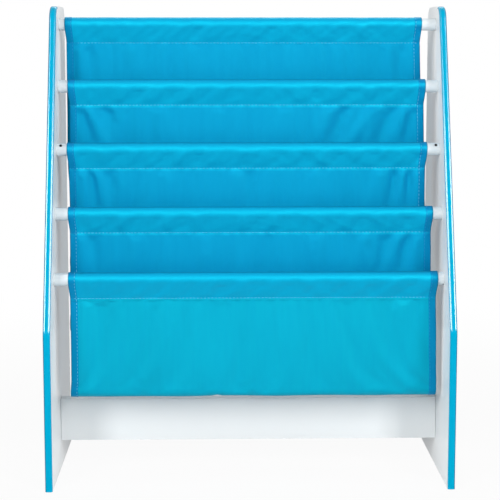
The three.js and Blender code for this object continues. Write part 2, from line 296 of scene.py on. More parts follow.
def makeWorld():
    world = bpy.data.worlds.new("studio")
    world.use_nodes = True
    scene.world = world
    graph = Graph(world.node_tree)
    strength = whiteWhereSeen(graph) * (1 - studio["worldStrength"]) + studio["worldStrength"]
    sky = graph.node("ShaderNodeBackground", {}, {"Color": white, "Strength": strength})
    graph.node("ShaderNodeOutputWorld", {}, {"Surface": sky})


def makeFloor():
    material, graph = newMaterial("paleFloor")
    place = objectPlace(graph)
    tone = graph.blend(graph.noise(place, scale=3.0) * 0.06, *studio["floorTones"])
    plain = graph.node("ShaderNodeBsdfPrincipled", {},
            {"Base Color": tone, "Roughness": studio["floorRoughness"], "Specular IOR Level": 0.2})
    glow = graph.node("ShaderNodeEmission", {}, {"Color": white, "Strength": 1.0})
    distance = graph.node("ShaderNodeVectorMath", {"operation": "LENGTH"}, {0: place}, out="Value")
    far = graph.step(distance, studio["floorFade"])
    share = whiteWhereSeen(graph) * (far * (1 - studio["floorNear"]) + studio["floorNear"])
    mixed = graph.node("ShaderNodeMixShader", {}, {0: share, 1: plain, 2: glow})
    graph.node("ShaderNodeOutputMaterial", {}, {"Surface": mixed})
    half = studio["floorSize"] / 2
    mesh = bpy.data.meshes.new("floor")
    mesh.from_pydata([(-half, -half, 0), (half, -half, 0), (half, half, 0), (-half, half, 0)], [],
            [(0, 1, 2, 3)])
    mesh.materials.append(material)
    linkObject(bpy.data.objects.new("floor", mesh))


makeCamera()
makeWorld()
for name, numbers in studio["softboxes"].items():
    makeSoftbox(name, *numbers)
makeFloor()
print("studio ready")


# Places taken from the frame

railCount = 5
railNames = [f"rail_{number + 1}" for number in range(railCount)]


def railPlace(name):  # (y, z) of a rail's centre
    low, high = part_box(name)
    return (low.y + high.y) / 2, (low.z + high.z) / 2


rails = [railPlace(name) for name in railNames]
railLow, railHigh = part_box("rail_1")
railRadius = (railHigh.z - railLow.z) / 2
railEnd = railHigh.x
panelInner, panelOuter = (corner.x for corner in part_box("right_side_panel"))
panelMiddle = (panelOuter + panelInner) / 2


# Finishes of two tones. A noise is its stretch, scale, detail and roughness: one mottles the tones and
# the roughness, which is its share and a base, and the other is the relief.

even = (1, 1, 1)
turned = {"clouds": (even, 160.0, 3.0), "relief": ((0.6, 3, 3), 1500.0), "bump": (0.1, 0.2 * mm),
        "more": {"Metallic": 1.0}}
grain = ((0.12, 1, 1), 420.0, 4.0, 0.65)
speckle = (even, 1100.0, 3.0)
looks = {
    "painted_board": {
        "tones": ((230, 233, 234), (233, 236, 237)), "rough": (0.02, 0.3), "clouds": (even, 9.0, 3.0),
        "relief": (even, 900.0), "bump": (0.03, 0.3 * mm), "more": {"Specular IOR Level": 0.5}},
    "white_tube": {
        "tones": ((228, 236, 240), (236, 243, 246)), "rough": (0.1, 0.42), "clouds": (even, 25.0),
        "relief": (even, 1400.0), "bump": (0.08, 0.3 * mm), "more": {"Specular IOR Level": 0.3}},
    "grey_plastic": {
        "tones": ((136, 141, 145), (150, 154, 158)), "rough": (0.15, 0.45), "clouds": speckle,
        "relief": speckle, "bump": (0.15, 0.3 * mm)},
    "steel": {**turned, "tones": ((168, 172, 176), (200, 203, 206)), "rough": (0.15, 0.28)},
    "dark_steel": {**turned, "tones": ((38, 40, 44), (60, 62, 66)), "rough": (0.15, 0.35)},
    "beech": {
        "tones": ((190, 142, 92), (216, 176, 130)), "rough": (0.2, 0.55), "clouds": grain,
        "relief": grain, "bump": (0.2, 0.4 * mm)},
}


def mottled(graph, place, look):
    cloudy, raised = (graph.noise(graph.stretched(place, stretch), *numbers)
            for stretch, *numbers in (look["clouds"], look["relief"]))
    share, base = look["rough"]
    return {
        "Base Color": graph.blend(cloudy, *(srgb(*tone) for tone in look["tones"])),
        "Roughness": cloudy * share + base,
        "Normal": graph.bump(raised, *look["bump"]),
        **look.get("more", {}),
    }


finishes = {slot: makeFinish(slot, mottled, look) for slot, look in looks.items()}
print("finishes ready")


# Boards: the frame's own shapes with their arrises eased

boards = {
    "pieces": {"left_panel_board": "left_side_panel", "right_panel_board": "right_side_panel",
        "base_board": "bottom_board"},
    "ease": 0.7 * mm,
    "steps": 3,
    "sharp": 40,
    "flat": 0.4,
}


def easeBoard(name, node):
    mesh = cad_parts[node].data.copy()
    shape = bmesh.new()
    shape.from_mesh(mesh)
    bmesh.ops.remove_doubles(shape, verts=shape.verts, dist=merge)
    bmesh.ops.dissolve_limit(shape, angle_limit=math.radians(boards["flat"]),
            verts=shape.verts, edges=shape.edges)
    shape.to_mesh(mesh)
    shape.free()
    mesh.materials.clear()
    shadeSmooth(mesh)
    host = linkObject(bpy.data.objects.new(name + "Host", mesh))
    bevel = host.modifiers.new("ease", "BEVEL")
    bevel.width = boards["ease"]
    bevel.segments = boards["steps"]
    bevel.limit_method = "ANGLE"
    bevel.angle_limit = math.radians(boards["sharp"])
    bevel.use_clamp_overlap = True
    flat = host.modifiers.new("flat", "WEIGHTED_NORMAL")  # broad faces stay flat beside the arrises
    flat.weight = 100
    addPiece(name, settled(host), "painted_board", [node])


for name, node in boards["pieces"].items():
    easeBoard(name, node)
print("boards eased")


# Edge strips: one rounded section swept along the front of each panel

strip = {
    "half": (panelOuter - panelInner) / 2,
    "thickness": 3 * mm,
    "arris": 2.6 * mm,
    "arrisSteps": 8,
    "upright": 198 * mm,
    "topDepth": 99 * mm,
    "kinkRadius": 40 * mm,
    "kinkSteps": 10,
    "cornerRadius": 22 * mm,
    "cornerSteps": 16,
    "sharp": 35,
    "rim": (-1.5 * mm, -1.1 * mm),  # from the outer side: where the painted shade of a darker rim starts
    "outerGloss": (-2.7 * mm, -2.4 * mm),  # where the gloss beside it starts
    "innerGloss": (2.3 * mm, 2.6 * mm),  # from the inner side: where the other one ends
    "slopeGloss": (2 * mm, 6 * mm),  # both start this far above the kink
    "fadeHeights": (360 * mm, 560 * mm),  # and lose a part of their strength here
    "fade": 0.8,
}


def blueStrip(graph, place):
    faint = graph.noise(graph.stretched(place, (60, 60, 4)), scale=6.0)
    across, _, height = graph.axes(place)
    outward = graph.maths("ABSOLUTE", across) - panelMiddle
    # Painted shade: the outer arris gets a darker rim, where it turns away from the lamps
    rim = graph.step(outward, strip["rim"], strip["half"])
    outer = graph.step(outward, strip["outerGloss"], strip["half"]) * (1 - rim)
    inner = 1 - graph.step(outward, strip["innerGloss"], -strip["half"])
    slope = graph.step(height, strip["slopeGloss"], strip["upright"])
    faded = 1 - graph.step(height, strip["fadeHeights"]) * strip["fade"]
    tone = graph.blend(faint, srgb(0, 156, 194), srgb(0, 164, 202))
    return {
        # at the rim the base colour is painted shade
        "Base Color": graph.blend(rim, tone, srgb(0, 106, 142)),
        "Roughness": faint * 0.06 + 0.13,
        "Specular IOR Level": 0.1,
        "Specular Tint": (0.3, 1, 1, 1),
        "Coat Weight": (outer + inner) * slope * faded,
        "Coat Roughness": 0.07,
        "Coat IOR": 2.4,
        "Normal": graph.bump(faint, strength=0.05, distance=0.3 * mm),
    }


def roundedCorner(corner, into, outOf, radius, inset, steps):
    turn = into.angle(outOf)
    inward = Vector((into.y, -into.x))
    centre = corner - into * radius * math.tan(turn / 2) + inward * radius
    points = []
    for step in range(steps + 1):
        outward = -inward
        outward.rotate(Matrix.Rotation(-turn * step / steps, 2))
        points.append(centre + outward * (radius - inset))
    return points


def frontLine(inset):  # (y, z) from the floor to the top corner's end
    depth, height = cadHigh.y - cadLow.y, cadHigh.z
    run = depth - strip["topDepth"]
    lean = Vector((run, height - strip["upright"])).normalized()
    kink = roundedCorner(Vector((0, strip["upright"])), Vector((0, 1)), lean,
            strip["kinkRadius"], inset, strip["kinkSteps"])
    top = roundedCorner(Vector((run, height)), lean, Vector((1, 0)),
            strip["cornerRadius"], inset, strip["cornerSteps"])
    points = [Vector((inset, 0)), *kink, *top]
    return [point + Vector((cadLow.y, 0)) for point in points]


def stripSection():  # (across, inset) round the strip's outside
    half, arris, steps = strip["half"], strip["arris"], strip["arrisSteps"]
    section = [(-half, strip["thickness"])]
    for side in (-1, 1):
        for step in range(steps + 1):
            angle = math.pi / 2 * (step if side < 0 else steps - step) / steps
            across = side * (half - arris * (1 - math.cos(angle)))
            section.append((across, arris * (1 - math.sin(angle))))
    section.append((half, strip["thickness"]))
    return section


def makeStrip(word, side):
    section = stripSection()
    lines = [frontLine(inset) for _, inset in section]
    shape = bmesh.new()
    rings = []
    for station in range(len(lines[0])):
        rings.append([shape.verts.new((side * panelMiddle + across, line[station].x, line[station].y))
                for (across, _), line in zip(section, lines)])
    for one, two in zip(rings, rings[1:]):
        for corner in range(len(section)):
            after = (corner + 1) % len(section)
            shape.faces.new((one[corner], one[after], two[after], two[corner]))
    shape.faces.new(rings[0][::-1])
    shape.faces.new(rings[-1])
    bmesh.ops.remove_doubles(shape, verts=shape.verts, dist=merge)
    bmesh.ops.recalc_face_normals(shape, faces=shape.faces)
    mesh = bpy.data.meshes.new(f"{word}Strip")
    shape.to_mesh(mesh)
    shape.free()
    shadeSmooth(mesh, strip["sharp"])
    addPiece(f"{word}_blue_strip", mesh, "blue_strip", [f"{word}_edge_strip"])


finishes["blue_strip"] = makeFinish("blue_strip", blueStrip)
for word, side in sides.items():
    makeStrip(word, side)
print("edge strips swept")


# Rails: a rectangle swept round a circle, so that each is one closed tube

rail = {"wall": 1.2 * mm, "ease": 0.3 * mm, "easeSteps": 3, "sides": 72, "sharp": 40}


def makeTubeTree():
    graph, given = newTree("tube", {"Float": ["Radius", "Wall", "Length", "Ease"], "Int": ["Sides"]})
    ring = graph.node("GeometryNodeCurvePrimitiveCircle", {"mode": "RADIUS"},
            {"Resolution": given["Sides"], "Radius": given["Radius"] - given["Wall"] / 2})
    section = graph.node("GeometryNodeCurvePrimitiveQuadrilateral", {"mode": "RECTANGLE"},
            {"Width": given["Wall"], "Height": given["Length"]})
    eased = graph.node("GeometryNodeFilletCurve", {"mode": "POLY"},
            {"Curve": section, "Count": rail["easeSteps"], "Radius": given["Ease"],
            "Limit Radius": True})
    swept = graph.node("GeometryNodeCurveToMesh", {},
            {"Curve": ring, "Profile Curve": eased, "Fill Caps": False})
    turned = graph.node("GeometryNodeTransform", {},
            {"Geometry": swept, "Rotation": (0, math.pi / 2, 0)})
    return closeTree(graph, given, turned)


tubeTree = makeTubeTree()
for name, (y, z) in zip(railNames, rails):
    tube = grow(name, tubeTree, "white_tube", {
        "Radius": railRadius, "Wall": rail["wall"], "Length": 2 * railEnd, "Ease": rail["ease"],
        "Sides": rail["sides"]})
    tube.transform(Matrix.Translation((0, y, z)))
    shadeSmooth(tube, rail["sharp"])
    addPiece(f"round_{name}", tube, "white_tube", [name])
print("rails swept")


# Bolts, barrel nuts and lock screws: a head with a hexagon or a slot cut in it, on a shank

# In mm: head's radius and height, ease, shank's radius and length, key's radius and depth; then the
# key's sides, and its length for its width
fasteners = {
    "rail_bolts": ("bolt_rail", "steel", (5, 2.2, 0.3, 2.5, 20.7, 1.5, 1.1), 6, 1.0),
    "board_bolts": ("board_bolt", "steel", (6, 3.2, 0.4, 3, 44.7, 2, 1.6), 6, 1.0),
    "barrel_nuts": ("barrel_nut", "steel", (5, 12, 0.4, 1, -0.1, 0.85, 1), 4, 7.0),
    "lock_screws": ("lock_screw", "dark_steel", (1.7, 1, 0.3, 1.1, 4.3, 0.75, 0.6), 6, 1.0),
}
fastenerSizes = ["Head Radius", "Head Height", "Ease", "Shank Radius", "Shank Length", "Key Radius",
        "Key Depth"]
fastenerSides = 48
fastenerSharp = 30
lockScrew = {"angle": math.radians(42), "stand": 1.3 * mm}  # above level to the front, past its rail


def makeFastenerTree():
    graph, given = newTree("fastener", {"Float": [*fastenerSizes, "Key Length"], "Int": ["Key Sides"]})
    radius, height, ease, shankRadius, shankLength, keyRadius, depth = (given[key] for key in fastenerSizes)

    def bar(count, radius, low, high, top=None):
        cone = graph.node("GeometryNodeMeshCone", {"fill_type": "NGON"},
                {"Vertices": count, "Radius Bottom": radius, "Radius Top": top or radius,
                "Depth": high - low})
        place = graph.node("ShaderNodeCombineXYZ", {}, {"Z": low})
        return graph.node("GeometryNodeTransform", {}, {"Geometry": cone, "Translation": place})
    head = bar(fastenerSides, radius, 0 - height, 0 - ease)
    rim = bar(fastenerSides, radius, 0 - ease, 0, radius - ease)
    shank = bar(fastenerSides, shankRadius, 0 - height - shankLength, ease - height)
    key = bar(given["Key Sides"], keyRadius, 0 - depth, depth)
    corner = (0, 0, math.pi / 4)
    turned = graph.node("GeometryNodeTransform", {}, {"Geometry": key, "Rotation": corner})
    stretch = graph.node("ShaderNodeCombineXYZ", {}, {"X": given["Key Length"], "Y": 1.0, "Z": 1.0})
    cutter = graph.node("GeometryNodeTransform", {}, {"Geometry": turned, "Scale": stretch})
    whole = graph.node("GeometryNodeMeshBoolean", {"operation": "UNION"}, {"Mesh 2": [head, rim, shank]})
    cut = graph.node("GeometryNodeMeshBoolean", {"operation": "DIFFERENCE"},
            {"Mesh 1": whole, "Mesh 2": cutter})
    facing = graph.node("FunctionNodeAlignRotationToVector", {"axis": "Z"}, {"Vector": graph.named("out")})
    placed = graph.node("GeometryNodeInstanceOnPoints", {},
            {"Points": given["Geometry"], "Instance": cut, "Rotation": facing})
    return closeTree(graph, given, placed)


def fastenerPlace(node):  # the middle of its head's top, and the way that faces
    low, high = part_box(node)
    middle = (low + high) / 2
    side = sides[node.split("_")[0]]
    if "lock_screw" in node:
        y, z = rails[railCount // 2]
        out = Vector((0, -math.cos(lockScrew["angle"]), math.sin(lockScrew["angle"])))
        return Vector((middle.x, y, z)) + out * (railRadius + lockScrew["stand"]), out
    if "barrel" in node:
        return Vector((middle.x, high.y, middle.z)), Vector((0, 1, 0))
    return Vector((side * panelOuter, middle.y, middle.z)), Vector((side, 0, 0))


fastenerTree = makeFastenerTree()
for name, (mark, slot, sizes, keySides, keyLength) in fasteners.items():
    nodes = [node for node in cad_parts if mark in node]
    places, ways = zip(*(fastenerPlace(node) for node in nodes))
    numbers = {key: size * mm for key, size in zip(fastenerSizes, sizes)}
    made = grow(name, fastenerTree, slot, {**numbers, "Key Sides": keySides, "Key Length": keyLength},
            guideMesh(name, places, out=ways))
    shadeSmooth(made, fastenerSharp)
    addPiece(name, made, slot, nodes)
print("fasteners placed")


# Frame nodes that stay as they are

fittings = {"plug": "grey_plastic", "dowel": "beech"}
for name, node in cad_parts.items():
    for word, finish in fittings.items():
        if word in name:
            node.data.materials.clear()
            node.data.materials.append(finishes[finish])
print("hidden fittings finished")


# The cloth: one sewn sheet, in five pieces that meet at the stitched lines

sling = {
    "thickness": 0.5 * mm,
    "wrapRadius": 8.75 * mm,  # rail's centre to the middle of the cloth
    "wrapSteps": 40,
    "seamDrop": 24 * mm,  # rail's centre down to the stitched line
    "seamGap": 0.45 * mm,  # each ply from the seam's middle
    "seamInset": 0.5 * mm,  # stitches in from the start of a piece
    "seamDraw": 1.6 * mm,  # how far the side edges draw in at a seam
    "drawEnds": (0, 0.3),  # and over these shares of a channel they come out again
    "plyGap": 0.8 * mm,  # the least between two plies that hang side by side
    "frontShare": 0.64,  # a pocket's front wall starts here, of its length
    "backShare": 0.48,  # and its back wall ends here
    "lip": 3 * mm,  # loose end beyond the first and the last stitched line
    "bottomDrop": 153 * mm,  # front rail's centre down to a pocket's lowest point
    "bottomSteps": 30,
    "bottomShare": 0.6,
    "tuck": 2 * mm,
    "hem": 9.5 * mm,
    "hemThickness": 1.1 * mm,
    "hemSlope": 0.3 * mm,
    "hemSides": (0.15 * mm, 0.6 * mm),  # columns at both sides of its step
    "rimThin": 0.45,  # the outer edges are thinner by this share
    "sharp": 60,
    "columnStep": 3.2 * mm,
    "columnClear": 1.6 * mm,  # from the hem to the first of them
    "fineStep": 1 * mm,
    "rowStep": 3 * mm,
    "rowReach": 12 * mm,  # finer rows this near to a seam
    "wrapRowStep": 1.6 * mm,
    "wrapRowReach": 4 * mm,
    "wrapLength": 79 * mm,  # cloth in a channel, from seam to seam
    "wrapStep": 1 * mm,
    "pocketStep": 2 * mm,
}
clothLow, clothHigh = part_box("sling_channel_1")
clothWidth = clothHigh.x - clothLow.x
channels = [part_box(f"sling_channel_{number + 1}") for number in range(railCount)]
slides = [(low.x + high.x) / 2 for low, high in channels]  # the cloth's middle at each rail


def straight(start, end, step):  # points from start towards end, without end
    start, end = np.array(start), np.array(end)
    count = max(1, round(float(np.linalg.norm(end - start)) / step))
    return [tuple(start + (end - start) * index / count) for index in range(count)]


def arc(y, z, radius, start, sweep, steps):  # points round a centre, angles from +y towards +z
    angles = (start + sweep * step / steps for step in range(steps + 1))
    return [(y + radius * math.cos(angle), z + radius * math.sin(angle)) for angle in angles]


def wrapLine(number):  # from the back of a seam over the rail to its front
    y, z = rails[number]
    radius, drop, gap, step = (sling[key] for key in ("wrapRadius", "seamDrop", "seamGap", "wrapStep"))
    lift = math.asin(radius / drop)
    over = arc(y, z, radius, -lift, math.pi + 2 * lift, sling["wrapSteps"])
    back, front = (y + gap, z - drop), (y - gap, z - drop)
    line = [*straight(back, over[0], step), *over, *straight(over[-1], front, step)[1:], front]
    if number == 0:
        line = [*straight((back[0], back[1] - sling["lip"]), back, step), *line]
    if number == railCount - 1:
        end = (front[0], front[1] - sling["lip"])
        line = [*line[:-1], *straight(front, end, step), end]
    return line


def pocketLine(number):  # from a seam's front down, round and up to the next
    upper, lower = rails[number], rails[number + 1]
    gap, drop, step = sling["seamGap"], sling["seamDrop"], sling["pocketStep"]
    radius = (upper[0] - lower[0]) / 2 - sling["tuck"]
    bendZ = lower[1] - sling["bottomDrop"] + radius + sling["thickness"]
    start = (upper[0] - gap, upper[1] - drop)
    end = (lower[0] + gap, lower[1] - drop)
    bend = arc((upper[0] + lower[0]) / 2, bendZ, radius, 0, -math.pi, sling["bottomSteps"])
    return [*straight(start, bend[0], step), *bend, *straight(bend[-1], end, step)[1:], end]


def lengthsAlong(points):
    steps = np.linalg.norm(np.diff(np.array(points), axis=0), axis=1)
    return np.concatenate([[0], np.cumsum(steps)])


def between(value, ends, length=1):  # 0 to 1, smooth, between two shares of a length
    start, end = (share * length for share in ends)
    share = np.clip((value - start) / (end - start), 0, 1)
    return share * share * (3 - 2 * share)


def spaced(length, step, reach):  # places from 0 to length, finer near both ends
    inner = np.linspace(reach, length - reach, max(2, round((length - 2 * reach) / step) + 1))
    near = np.linspace(0, reach, round(reach / sling["fineStep"]) + 1)[:-1]
    return np.concatenate([near, inner, (length - near)[::-1]])


def smoothly(places, knots, values):  # cubic curve through values at knots, along axis 0
    slopes = np.gradient(values, knots, axis=0)
    index = np.clip(np.searchsorted(knots, places) - 1, 0, len(knots) - 2)
    gap = (knots[index + 1] - knots[index])
    share = (places - knots[index]) / gap
    shape = (-1,) + (1,) * (values.ndim - 1)
    t, gap = share.reshape(shape), gap.reshape(shape)
    one, two = values[index], values[index + 1]
    return ((2 * t**3 - 3 * t**2 + 1) * one + (t**3 - 2 * t**2 + t) * gap * slopes[index]
            + (3 * t**2 - 2 * t**3) * two + (t**3 - t**2) * gap * slopes[index + 1])


folds = {
    "broad": {"seed": 40, "waves": (105 * mm, 105 * mm * 0.62), "tilt": 0.35},
    "broadDepth": 1.0 * mm,
    "pucker": {"seed": 60, "waves": (9 * mm, 9 * mm * 1.7), "tilt": 0.2},
    "puckerDepth": 0.5 * mm,
    "puckerStart": (0, 2 * mm),
    "puckerReach": 9 * mm,
    "loose": (0, 40 * mm),  # broad folds grow in the first of these reaches below a seam
    "looseEnd": (90 * mm, 1.6 * (90 * mm)),  # and end in the second
    "strength": 1.2,
    "start": (0, 12 * mm),  # a crease grows to its height within this much of its seam
    "widen": 0.1,  # and gets wider by this much for each step down
    "wrap": {"seed": 90, "waves": (13 * mm, 29 * mm, 61 * mm), "tilt": 0.15},
    "wrapDepth": 0.12 * mm,
    "drags": (
        {"seed": 80, "waves": (9 * mm, 14 * mm, 22 * mm, 37 * mm), "tilt": 0.35, "lean": 0.75},
        {"seed": 81, "waves": (19 * mm, 46 * mm), "tilt": 0.35},
        {"seed": 82, "waves": (12 * mm, 31 * mm), "tilt": 0.35, "lean": 0.5},
    ),
    "dragSeedStep": 7,
    "dragDepth": 0.65 * mm,
    "dragBend": 40 * mm,  # near the middle the first drag turns from one end to the other
    "dragStart": (0, 11 * mm),
    "front": (0.6, 0.76),  # shares of a channel's length: where its front starts
    "crown": (0.3, 0.4),  # where the cloth over the rail starts
    "crownEnd": (0.62, 0.72),  # and ends
    "free": (0.72, 0.82),  # where it is clear of the rail, in front
    "pressed": 0.3 * mm,  # how far the cloth over a rail may sink towards it
    "freeSink": 2 * mm,  # and how much more where it is clear
}
# Creases below each pocket's back seam, and at last in front of the lowest pocket, in mm:
# where each starts from the middle, its lean to the right going down, width, height and reach
creases = [
    [(-218, 0.06, 5, 1.8, 60), (-206, 0.1, 5, -1.6, 50), (-150, 0.3, 12, 1.4, 70), (-68, 0.02, 9, 2, 80),
     (-20, -0.2, 14, 1.2, 80), (60, 0.15, 13, 1.4, 70), (130, -0.3, 11, 1.6, 60), (196, -0.15, 6, 2, 60),
     (212, -0.1, 5, -1.6, 60)],
    [(-222, 0.42, 6, -3, 70), (-212, 0.5, 7, 2.6, 70), (-190, 0.72, 9, -2.6, 60), (-120, 0.4, 14, 1.6, 80),
     (-40, 0.1, 15, 1.3, 80), (50, -0.2, 12, 1.5, 80), (112, -0.45, 8, 2.4, 70), (133, -0.55, 8, -3.2, 80),
     (172, -0.72, 9, 3.6, 80), (196, -0.6, 6, -2.4, 70), (212, -0.5, 6, 3, 70), (224, -0.35, 5, -2.6, 60)],
    [(-216, 0.12, 4.5, 2.8, 70), (-207, 0.18, 4, -2.8, 60), (-198, 0.22, 5, 2.4, 60), (-184, 0.4, 6, -2, 60),
     (-110, 0.3, 14, 1.6, 70), (-15, 0.1, 10, 2.4, 90), (2, -0.05, 9, -1.6, 80), (90, -0.2, 15, 1.5, 80),
     (176, -0.3, 8, 2, 70), (196, -0.2, 4.5, -3.2, 70), (205, -0.12, 5, 3, 70), (214, -0.1, 4, -3, 70),
     (222, 0, 4, 2, 70)],
    [(-220, 0.15, 5, 2, 70), (-206, 0.3, 6, -2, 60), (-150, 0.35, 12, 1.4, 70), (-60, 0.15, 12, 1.5, 80),
     (20, -0.05, 10, -1.4, 70), (84, -0.15, 14, 1.7, 80), (150, -0.25, 9, 1.8, 70),
     (178, -0.32, 7, -2.2, 70), (194, -0.36, 6, 2.6, 70), (207, -0.34, 5, -2.4, 60),
     (219, -0.3, 5, 2.2, 60)],
    [(-214, 0.12, 9, 1.2, 90), (-196, 0.25, 12, -1.4, 80), (-130, 0.3, 22, 1.3, 110),
     (-40, 0.1, 26, -1.2, 120), (40, -0.05, 20, 1.2, 110), (120, -0.25, 20, -1.2, 100),
     (190, -0.3, 13, 1.6, 90), (213, -0.15, 8, -1.3, 80)],
]


# A few sine waves with fixed random turns about a lean
def ripple(across, along, number, seed, waves, tilt, lean=0.0):
    draw = np.random.default_rng(seed + number)
    total = 0
    for wave in waves:
        turn = lean + draw.uniform(-tilt, tilt)
        phase = draw.uniform(0, 2 * math.pi)
        place = across * math.cos(turn) + along * math.sin(turn)
        total = total + wave / sum(waves) * np.sin(2 * math.pi * place / wave + phase)
    return total


def creased(rows, across, drop):
    total = 0
    for start, lean, width, height, reach in rows:
        spread = width * mm + folds["widen"] * drop
        ridge = np.exp(-((across - start * mm - lean * drop) / spread) ** 2)
        grown = between(drop, folds["start"])
        total = total + height * mm * ridge * grown * np.exp(-(drop / (reach * mm)) ** 2)
    return folds["strength"] * total


def seamFolds(number, across, drop):  # how far the two plies below a seam stand to the front
    loose = between(drop, folds["loose"]) * (1 - between(drop, folds["looseEnd"]))
    near = np.exp(-(drop / folds["puckerReach"]) ** 2) * between(drop, folds["puckerStart"])
    return (creased(creases[number], across, drop)
            + folds["broadDepth"] * ripple(across, drop, number, **folds["broad"]) * loose
            + folds["puckerDepth"] * ripple(across, drop, number, **folds["pucker"]) * near)


def wallFolds(number, across, along, length):  # how far a pocket's cloth stands into the pocket
    return seamFolds(number, across, along) - seamFolds(number + 1, across, length - along)


# How far the cloth over a rail stands out, with creases from the seam up towards both ends
def wrapFolds(number, across, along, length):
    front, crown, crownEnd, free = (between(along, folds[key], length)
            for key in ("front", "crown", "crownEnd", "free"))
    front = front * between(length - along, folds["dragStart"])
    towardsEnd = -np.sqrt(across ** 2 + folds["dragBend"] ** 2)
    drag = 0
    for place, waves in zip((towardsEnd, across, across), folds["drags"]):
        drag = drag + ripple(place, along, folds["dragSeedStep"] * number, **waves)
    wavy = ripple(across, along, number, **folds["wrap"])
    least = -folds["pressed"] - folds["freeSink"] * free
    return (np.maximum(folds["dragDepth"] * drag * front, least)
            + folds["wrapDepth"] * (1 + wavy) * (crown * (1 - crownEnd)))


def sideways(line, along):  # (y, z) along a side-on line, and the way out of it
    line = np.array(line)
    knots = lengthsAlong(line)
    near = 0.5 * mm

    def at(places):
        return np.stack([np.interp(places, knots, line[:, axis]) for axis in (0, 1)], 1)
    heading = at(along + near) - at(along - near)
    heading /= np.linalg.norm(heading, axis=1)[:, None]
    return at(along), np.stack([heading[:, 1], -heading[:, 0]], 1), knots[-1]


# Places on a sheet that follows a side-on line, lifted out of it by its folds
def sheetPlaces(line, slideStart, slideEnd, draw, lift, across, along):
    place, out, length = sideways(line, along)
    grid = np.zeros((len(along), len(across), 3))
    left, right = draw(along, length)
    middle = slideStart + (slideEnd - slideStart) * along / length + (left - right) / 2
    narrow = 1 - (left + right)[:, None] / clothWidth
    grid[:, :, 0] = middle[:, None] + across[None, :] * narrow
    rise = lift(across[None, :], along[:, None], length)
    grid[:, :, 1] = place[:, 0, None] + out[:, 0, None] * rise
    grid[:, :, 2] = place[:, 1, None] + out[:, 1, None] * rise
    return grid


# How far the left and right edges draw in, in mm: round each rail, down each pocket's back wall,
# and down its front wall
draws = {
    "rail": [(0.4, 0.4), (3.0, 0.6), (1.0, 3.8), (1.2, 1.8), (0.2, 0.6)],
    "back": [(1.4, 0.4), (4.2, 2.0), (3.4, 6.4), (2.6, 3.4)],
    "front": [(4.6, 2.6), (4.0, 6.8), (3.2, 5.2), (2.6, 0.4)],
    "shares": np.array([0, 0.24, 0.5, 0.6, 0.8, 1]),  # of a pocket's length, from rail to rail
}


def wrapDraw(number, along, length):
    inner = between(along, sling["drawEnds"], length) * between(length - along, sling["drawEnds"], length)
    seam = sling["seamDraw"] * (1 - inner)
    return [inset * mm + seam for inset in draws["rail"][number]]


def wallDraw(number, along, length):
    seam = sling["seamDraw"] / mm
    insets = []
    for side in (0, 1):
        start, end = (pair[side] + seam for pair in draws["rail"][number:number + 2])
        back, front = draws["back"][number][side], draws["front"][number][side]
        values = np.array([start, back, back, front, front, end])
        insets.append(mm * smoothly(along / length, draws["shares"], values))
    return insets


def clothColumns():  # places across, with some at each side of a hem's step
    half, hem = clothWidth / 2, sling["hem"]
    near, far = sling["hemSides"]
    edge = np.array([0, near, far, hem * 0.25, hem * 0.5, hem * 0.75, hem - far, hem - near,
            hem + near, hem + far])
    inner = half - hem - sling["columnClear"]
    middle = np.linspace(-inner, inner, round(2 * inner / sling["columnStep"]) + 1)
    return np.concatenate([edge - half, middle, (half - edge)[::-1]])


columns = clothColumns()


# The pockets hang from their seams under their own weight: a cloth simulation of all four,
# on a coarser grid than the one that is shown
hang = {
    "cell": 5.5 * mm,
    "frames": 26,
    "bendHold": 0.25,  # how firmly a pocket's bottom keeps its place, 1 is fixed
    "bendReach": 0.05,  # of its length
    "leastHold": 0.01,
    "outward": 1.2 * mm,  # the most that a wall may move out of its pocket
    "inward": 5 * mm,  # and into it
    "aside": 3 * mm,
    "cloth": {
        "quality": 7,
        "mass": 0.1,
        "air_damping": 4,
        "tension_stiffness": 40,
        "compression_stiffness": 40,
        "shear_stiffness": 12,
        "bending_model": "ANGULAR",
        "bending_stiffness": 0.6,
        "tension_damping": 10,
        "compression_damping": 10,
        "shear_damping": 10,
        "bending_damping": 1,
        "vertex_group_mass": "held",
        "shrink_min": -0.010,  # the cloth between two seams is this much larger than its place
    },
}


def pocketPlaces(number, across, along):
    return sheetPlaces(pocketLine(number), slides[number], slides[number + 1],
            partial(wallDraw, number), partial(wallFolds, number), across, along)


def simulated(points, faces, held):  # where the points come to rest
    mesh = bpy.data.meshes.new("hanging")
    mesh.from_pydata(points, [], faces)
    host = linkObject(bpy.data.objects.new("hanging", mesh))
    group = host.vertex_groups.new(name="held")
    for index, weight in enumerate(held):
        if weight > hang["leastHold"]:
            group.add([index], weight, "REPLACE")
    modifier = host.modifiers.new("hang", "CLOTH")
    for key, value in hang["cloth"].items():
        setattr(modifier.settings, key, value)
    modifier.collision_settings.use_collision = False
    for frameNumber in range(1, hang["frames"] + 1):
        scene.frame_set(frameNumber)
    ready = host.evaluated_get(bpy.context.evaluated_depsgraph_get())
    hung = np.zeros(len(points) * 3)
    ready.data.vertices.foreach_get("co", hung)
    bpy.data.objects.remove(host)
    scene.frame_set(1)
    return hung.reshape(-1, 3)


def limited(number, along, move):  # a pocket's moves, kept within what it may do
    out = sideways(pocketLine(number), along)[1]
    out = np.concatenate([np.zeros((len(along), 1)), out], 1)[:, None, :]
    depth = (move * out).sum(2)[:, :, None]
    rest = move - depth * out
    most = np.where(depth > 0, hang["inward"], hang["outward"])
    print("pocket", number + 1, "moved", round(float(np.abs(move).max()) / mm, 1), "mm at most")
    return hang["aside"] * np.tanh(rest / hang["aside"]) + most * np.tanh(depth / most) * out


